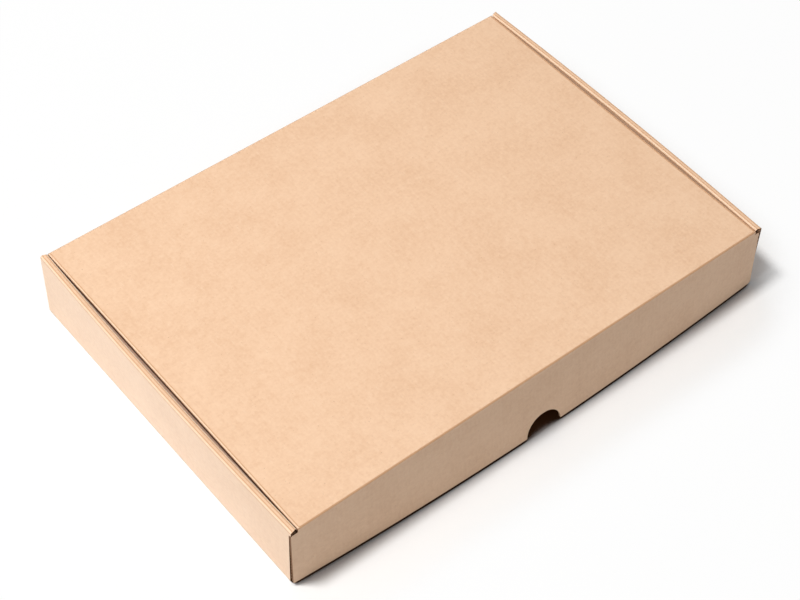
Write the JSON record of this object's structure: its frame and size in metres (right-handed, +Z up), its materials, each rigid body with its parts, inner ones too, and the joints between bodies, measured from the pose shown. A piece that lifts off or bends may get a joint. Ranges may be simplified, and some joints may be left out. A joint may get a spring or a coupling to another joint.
{
  "type": "pizza box",
  "caption": "Shallow oblong corrugated cardboard pizza box with rolled side walls, a hinged lid and an outside front flap that has a half-round thumb notch.",
  "frame": {"origin": "on the tray's underside, the surface that the box stands on, below the middle of the closed lid", "axes": "+X along the long front edge, to the right when facing the thumb notch; +Y from the front to the hinged back edge; +Z up"},
  "size_m": [0.404, 0.2847, 0.0565],
  "materials": {
    "kraft_board": "matt uncoated kraft liner on thin fluted board"
  },
  "bodies": {
    "tray": {"tray": "kraft_board"},
    "lid": {"lid": "kraft_board"},
    "front_flap": {"front_flap": "kraft_board"}
  },
  "joints": [
    {"name": "lid_hinge", "type": "hinge", "parent": "tray", "child": "lid", "pos_m": [0, 0.13764, 0.05564], "axis": [-1, 0, 0], "range_deg": [0, 180]},
    {"name": "flap_hinge", "type": "hinge", "parent": "lid", "child": "front_flap", "pos_m": [0, -0.13764, 0.05564], "axis": [-1, 0, 0], "range_deg": [0, 90]}
  ]
}
